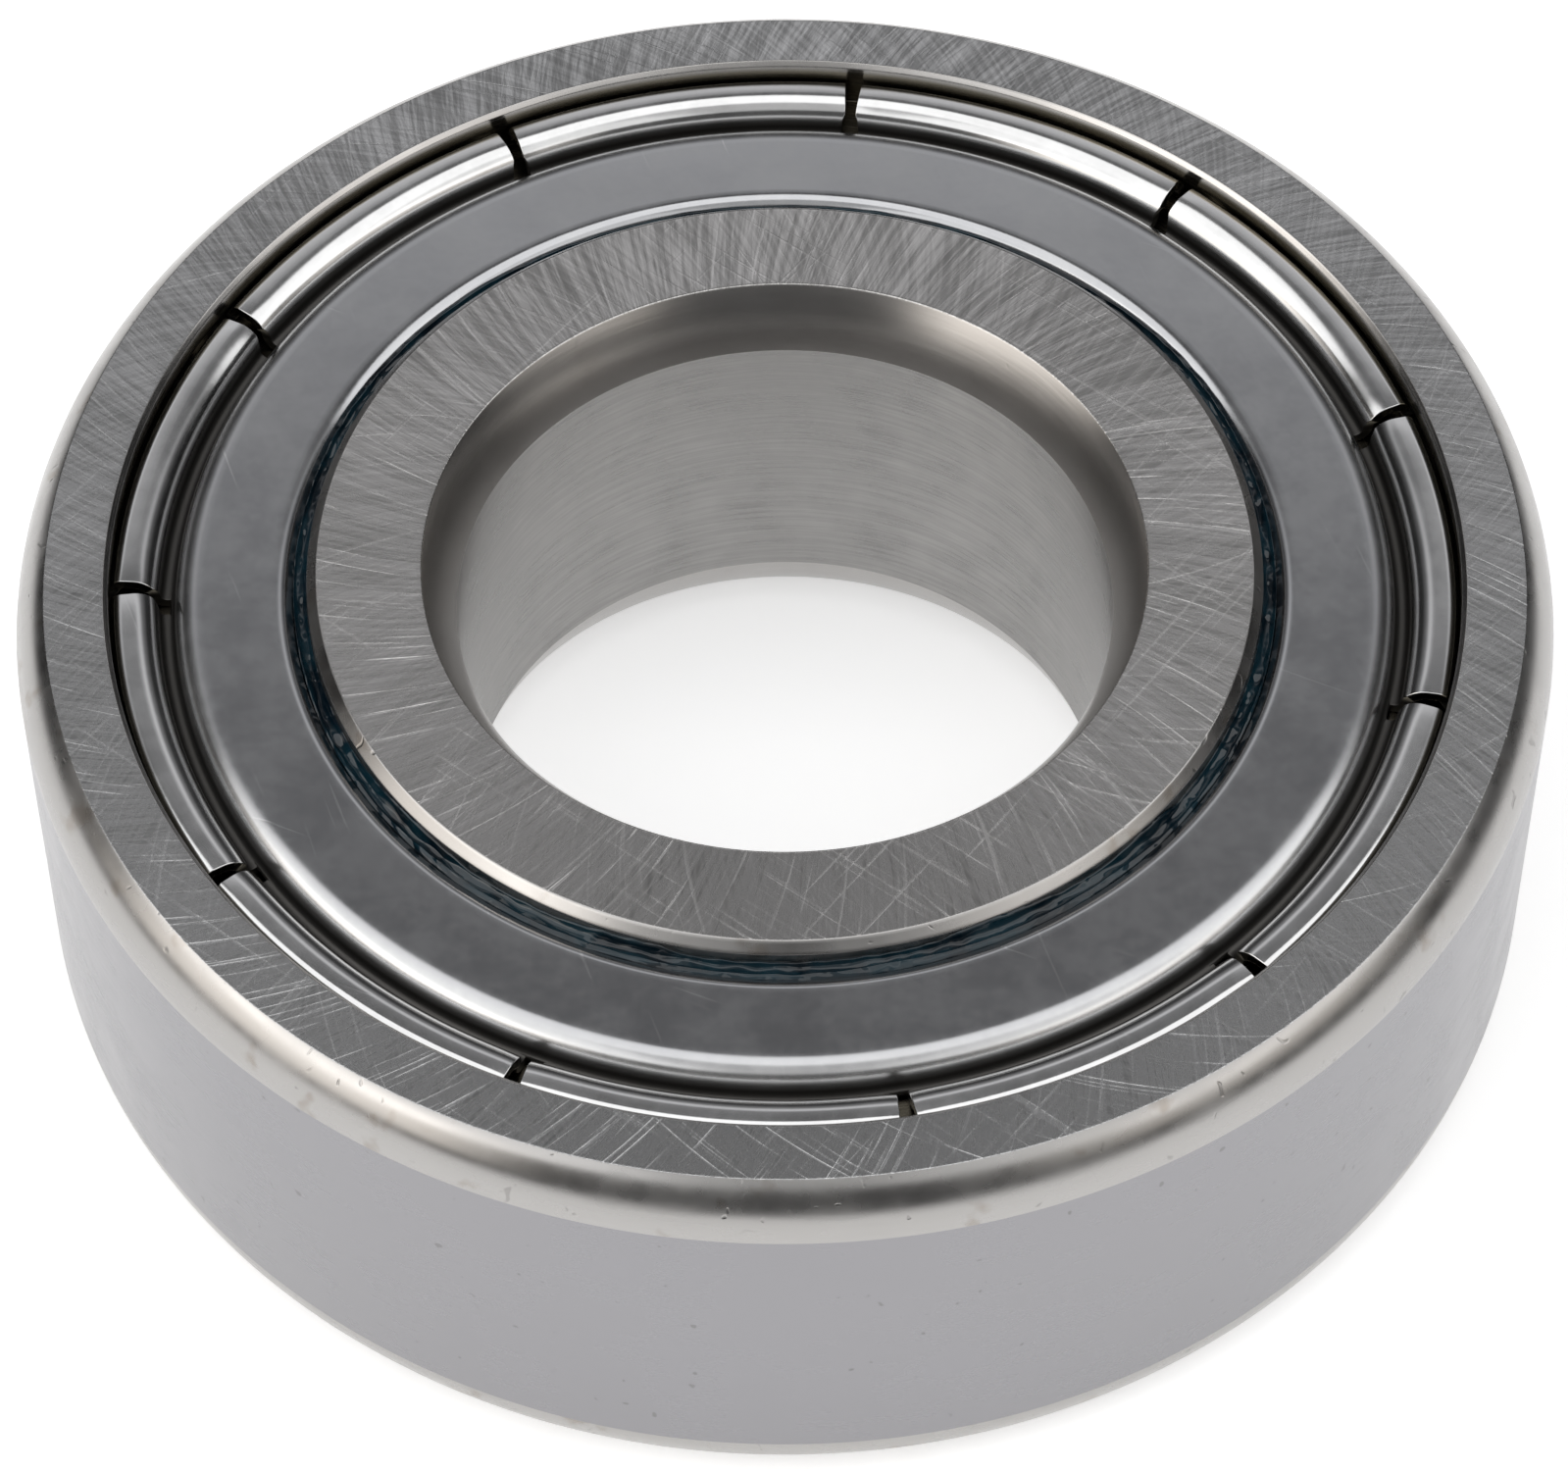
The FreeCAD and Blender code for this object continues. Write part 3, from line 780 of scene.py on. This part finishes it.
def pressed_cage(name, level):
    """Pressed sheet of the cage, or a rivet's head: dull, with a fine grain."""
    shader = Shader(name)
    point = shader.place()
    cloud = shader.noise(point, scale=0.9, detail=4)
    grain = shader.noise(point, scale=9.0, detail=2)
    tone = shader.math("ADD", shader.math("MULTIPLY", cloud, 0.7), shader.math("MULTIPLY", grain, 0.3))
    colour = shader.mix(tone, grey(level * 0.8, 0.03), grey(level * 1.2, 0.02))
    rough = shader.range(tone, 0.3, 0.7, 0.25, 0.42)
    shader.feed(shader.bump(grain, 0.004, 0.5), shader.surface.inputs["Normal"])
    return metal(shader, colour, rough)


GREASE_DARK = (0.001, 0.005, 0.009, 1)
GREASE_TEAL = (0.004, 0.02, 0.03, 1)
GREASE_IOR = 1.48


def wet_grease(name):
    """Dark teal grease with a wet skin and faint streaks round the gap."""
    shader = Shader(name)
    polar = shader.polar()
    streak = shader.noise(shader.hoops(polar, 2.6, 0.7), detail=0, distortion=0.6)
    lump = shader.noise(polar[0], scale=1.5, detail=1, distortion=0.6)
    tone = shader.math("MULTIPLY", shader.math("ADD", streak, lump), 0.5)
    colour = shader.mix(shader.range(tone, 0.35, 0.65), GREASE_DARK, GREASE_TEAL)
    shader.feed(colour, shader.surface.inputs["Base Color"])
    shader.feed(shader.range(tone, 0.3, 0.7, 0.04, 0.1), shader.surface.inputs["Roughness"])
    shader.surface.inputs["IOR"].default_value = GREASE_IOR
    height = shader.math("ADD", shader.math("MULTIPLY", streak, 0.3), shader.math("MULTIPLY", lump, 0.9))
    shader.feed(shader.bump(height, 0.1, 0.8), shader.surface.inputs["Normal"])
    return shader.material


FLOOR_GLOW = 0.45
FLOOR_FADE = (60.0, 260.0)      # where the floor's painted falloff of light starts and ends, from the axis


def studio_floor(name):
    """A pale light table: matt white with a little light of its own; far away its colour darkens as a
    painted falloff of light, and its glow fades.
    """
    shader = Shader(name)
    point = shader.place()
    cloud = shader.noise(point, scale=0.02, detail=2)
    colour = shader.mix(cloud, (0.86, 0.86, 0.865, 1), (0.9, 0.9, 0.9, 1))
    # Painted falloff of light: far from the bearing the floor's colour darkens and its glow fades.
    away = shader.range(shader.vector("LENGTH", point), *FLOOR_FADE)
    colour = shader.mix(away, colour, (0.5, 0.5, 0.505, 1))
    shader.feed(colour, shader.surface.inputs["Base Color"])
    shader.surface.inputs["Roughness"].default_value = 0.7
    shader.surface.inputs["Emission Color"].default_value = (1, 1, 1, 1)
    shader.feed(shader.math("MULTIPLY_ADD", away, -FLOOR_GLOW, FLOOR_GLOW),
                shader.surface.inputs["Emission Strength"])
    return shader.material


# ---------------------------------------------------------------- grease

def ring_noise(angle, scale, seed):
    """Smooth noise round the axis, from -1 to 1."""
    return noise.noise(Vector((math.cos(angle) * scale, math.sin(angle) * scale, seed)))


# Gaps and depths in millimetres; depths are below the faces of the rings.
GREASE_INSIDE = INNER_SHOULDER + 0.012
GREASE_OUTSIDE = SHIELD_BORE - 0.004
GREASE_DEPTH = 0.62
GREASE_BASE = 1.3
GREASE_WAVE = 0.10
GREASE_LUMP = 0.05
CLIMB_IN = (0.14, 0.42)         # least climb up the inner ring, and how much noise adds
CLIMB_OUT = (0.10, 0.16)
CLIMB_WIDTH = 0.16              # as a share of the gap
GREASE_STEPS = 14
GREASE_SEGMENTS = 720


def grease_mesh(name, material, flip):
    """A wavy bead of grease that fills the gap between a shield and the inner ring."""
    verts, faces = [], []
    row = GREASE_STEPS + 3
    for k in range(GREASE_SEGMENTS):
        angle = FULL_TURN * k / GREASE_SEGMENTS
        level = GREASE_DEPTH - GREASE_WAVE * ring_noise(angle, 1.8, 3.1 * flip)
        climb_in = CLIMB_IN[0] + CLIMB_IN[1] * max(0.0, ring_noise(angle, 5.0, 7.7 * flip))
        climb_out = CLIMB_OUT[0] + CLIMB_OUT[1] * max(0.0, ring_noise(angle, 4.0, 11.3 * flip))
        spots = []
        for j in range(GREASE_STEPS + 1):
            share = j / GREASE_STEPS
            radius = GREASE_INSIDE + (GREASE_OUTSIDE - GREASE_INSIDE) * share
            lump = ring_noise(angle, 26, share * 1.6 + flip)
            rise = climb_in * math.exp(-share / CLIMB_WIDTH)
            rise += climb_out * math.exp(-(1 - share) / CLIMB_WIDTH)
            spots.append((radius, HALF_WIDTH - level + rise + GREASE_LUMP * lump))
        spots.append((GREASE_OUTSIDE, HALF_WIDTH - GREASE_BASE))
        spots.append((GREASE_INSIDE, HALF_WIDTH - GREASE_BASE))
        verts += [(r * math.cos(angle) * MM, r * math.sin(angle) * MM, z * MM * flip)
                  for r, z in spots]
    for k in range(GREASE_SEGMENTS):
        here, there = k * row, (k + 1) % GREASE_SEGMENTS * row
        for j in range(row):
            n = (j + 1) % row
            faces.append((here + j, there + j, there + n, here + n))
    mesh = bpy.data.meshes.new(name)
    mesh.from_pydata(verts, [], faces)
    mesh.materials.append(material)
    return mesh


# ---------------------------------------------------------------- the object

# The materials; a ground face also gets the radii of its two worn edges.
face_outer = ground_face("ground_face_outer", 16.1, 0.375, 0.0, 24, 0.55, (15.43, 16.77))
face_inner = ground_face("ground_face_inner", 9.4, 0.42, 0.018, 11, 0.7, (8.25, 10.63))
outside = ground_outside("ground_outside", 0.285)
corner_outer = tumbled_corner("tumbled_corner_outer", 0.39, 0.03, 1.0)
corner_bore = tumbled_corner("tumbled_corner_bore", 0.42, 0.04, 0.15)
bore = turned_steel("honed_bore", 0.34, 0.02, 0.3, 0.9)
recess = turned_steel("turned_recess", 0.42, 0.03, 0.25, painted_depth_shade=True)
track = turned_steel("raceway_steel", 0.5, 0.0, 0.14)
sheet = rolled_sheet("rolled_sheet", 0.42)
grease = wet_grease("wet_grease")

outer_steels = (outside, corner_outer, face_outer, recess, track)
inner_steels = (bore, corner_bore, face_inner, corner_outer, track)
outer_mesh = lathe("outer_ring_turned", outer_ring_profile(), outer_steels)
inner_mesh = lathe("inner_ring_turned", inner_ring_profile(), inner_steels)
finish_mesh("outer_ring_turned", outer_mesh, "outer", "outer_ring")
finish_mesh("inner_ring_turned", inner_mesh, "inner", "inner_ring")

for side, flip in (("upper", 1), ("lower", -1)):
    pressed = "shield_%s_pressed" % side
    shield = finish_mesh(pressed, shield_mesh(pressed, sheet, flip),
                         "outer", "shield_%s" % side)
    soften(shield, 0.05, 50, 3)
    bead = "grease_%s" % side
    finish_mesh(bead, grease_mesh(bead, grease, flip), "outer")

ball_steel = polished_ball("polished_ball")
cage_steel = pressed_cage("pressed_cage", 0.45)
rivet_steel = pressed_cage("rivet_head", 0.4)
for name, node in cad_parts.items():
    if name.startswith("ball_"):
        node.material_slots[0].material = ball_steel
    elif name.startswith("cage_half"):
        node.material_slots[0].material = cage_steel
    elif name.startswith("cage_rivet"):
        node.material_slots[0].material = rivet_steel


# ---------------------------------------------------------------- studio

# From here on lengths are in metres.
FLOOR_HALF = 3.0
FLOOR_GAP = 0.00002             # keeps the floor off the lower faces


def add_floor():
    """A square floor just under the bearing."""
    far = FLOOR_HALF
    mesh = bpy.data.meshes.new("floor")
    mesh.from_pydata([(-far, -far, 0), (far, -far, 0), (far, far, 0), (-far, far, 0)],
                     [], [(0, 1, 2, 3)])
    mesh.materials.append(studio_floor("studio_floor"))
    floor = bpy.data.objects.new("floor", mesh)
    floor.location.z = cad_box[0].z - FLOOR_GAP
    bpy.context.scene.collection.objects.link(floor)


SOFTBOX_HEIGHT = 0.5
# Softboxes over the bearing: one corner, the opposite corner, and brightness.
SOFTBOXES = {
    "overhead_back": ((-0.9, -0.12), (0.9, 0.225), 1.6),
    "overhead_left": ((-0.9, -0.62), (-0.14, -0.12), 1.5),
    "overhead_right": ((0.14, -0.62), (0.9, -0.12), 1.1),
    "overhead_middle": ((-0.14, -0.62), (0.14, -0.12), 0.55),
}


def add_softbox(name, low, high, radiance):
    """A level rectangular softbox above the floor, from corner low to corner high."""
    width, depth = high[0] - low[0], high[1] - low[1]
    light = bpy.data.lights.new(name, "AREA")
    light.shape = "RECTANGLE"
    light.size, light.size_y = width, depth
    light.energy = radiance * math.pi * width * depth
    lamp = bpy.data.objects.new(name, light)
    lamp.location = ((low[0] + high[0]) / 2, (low[1] + high[1]) / 2, SOFTBOX_HEIGHT)
    bpy.context.scene.collection.objects.link(lamp)


# Brightness of the studio's back wall by height above the horizon, in degrees.
WALLS = ((0, 0.05), (20, 0.06), (34, 0.26), (45, 0.88), (52, 0.23), (60, 0.12))
# Bearings are in degrees from the front, which is -Y. The side walls have this share of
# the back wall's brightness, and reach it between the two bearings.
SIDE_SHARE = 0.2
SIDE_TO_BACK = (110.0, 170.0)
FRONT_DARK = 0.10
FRONT_TO_SIDE = (55.0, 105.0)
# Soft panels beside the camera: bearing, height, half-sizes, brightness.
PANELS = ((-66, 23, 37, 23, 1.9), (60, 27, 33, 18, 0.85))
PANEL_CORE = 0.45               # the share of a panel that has its full brightness


def add_world():
    """A back wall with a bright band, dim side walls, and two panels in a dark front."""
    world = bpy.data.worlds.new("studio")
    nodes = Nodes(world)
    coordinate = nodes.tree.nodes.new("ShaderNodeTexCoord")
    x, y, z = nodes.split(coordinate.outputs["Generated"])
    height = nodes.math("DEGREES", nodes.math("ARCSINE", z))
    walls = nodes.tree.nodes.new("ShaderNodeValToRGB")
    ramp = walls.color_ramp
    ramp.interpolation = "EASE"
    while len(ramp.elements) < len(WALLS):
        ramp.elements.new(0.5)
    for element, (degrees, level) in zip(ramp.elements, WALLS):
        element.position = degrees / 90
        element.color = (level, level, level * 1.02, 1)
    nodes.feed(nodes.math("DIVIDE", height, 90.0), walls.inputs["Fac"])
    bearing = nodes.math("DEGREES", nodes.math("ARCTAN2", x, nodes.math("MULTIPLY", y, -1.0)))
    turned = nodes.math("ABSOLUTE", bearing)
    side = nodes.range(turned, *SIDE_TO_BACK, SIDE_SHARE, 1.0)
    colour = nodes.mix(side, (0, 0, 0, 1), walls.outputs["Color"])
    dark = (FRONT_DARK, FRONT_DARK, FRONT_DARK, 1)
    colour = nodes.mix(nodes.range(turned, *FRONT_TO_SIDE, 1.0, 0.0), colour, dark)
    for heading, lift, wide, tall, level in PANELS:
        across = nodes.math("ABSOLUTE", nodes.math("SUBTRACT", bearing, heading))
        up = nodes.math("ABSOLUTE", nodes.math("SUBTRACT", height, lift))
        share = nodes.math("MULTIPLY", nodes.range(across, wide * PANEL_CORE, wide, 1.0, 0.0),
                           nodes.range(up, tall * PANEL_CORE, tall, 1.0, 0.0))
        colour = nodes.mix(share, colour, (level, level * 0.95, level * 0.89, 1))
    background = nodes.tree.nodes.new("ShaderNodeBackground")
    nodes.feed(colour, background.inputs["Color"])
    output = nodes.tree.nodes.new("ShaderNodeOutputWorld")
    nodes.links.new(background.outputs[0], output.inputs["Surface"])
    bpy.context.scene.world = world


CAMERA_PLACE = (0.0, -0.08712, 0.11368)
CAMERA_TILT = (37.182, 0.148, -0.173)      # degrees about X, Y and Z
CAMERA_LENS = 140.64                       # millimetres, for a sensor 36 mm wide


def add_camera():
    """The camera, at the photograph's viewing angle."""
    camera = bpy.data.cameras.new("camera")
    camera.sensor_width = 36.0
    camera.lens = CAMERA_LENS
    camera.clip_start = 0.01
    seat = bpy.data.objects.new("camera", camera)
    seat.location = CAMERA_PLACE
    seat.rotation_euler = Euler([math.radians(a) for a in CAMERA_TILT])
    bpy.context.scene.collection.objects.link(seat)
    bpy.context.scene.camera = seat


add_floor()
for name, (low, high, radiance) in SOFTBOXES.items():
    add_softbox(name, low, high, radiance)
add_world()
add_camera()
bpy.context.scene.view_settings.view_transform = "Standard"
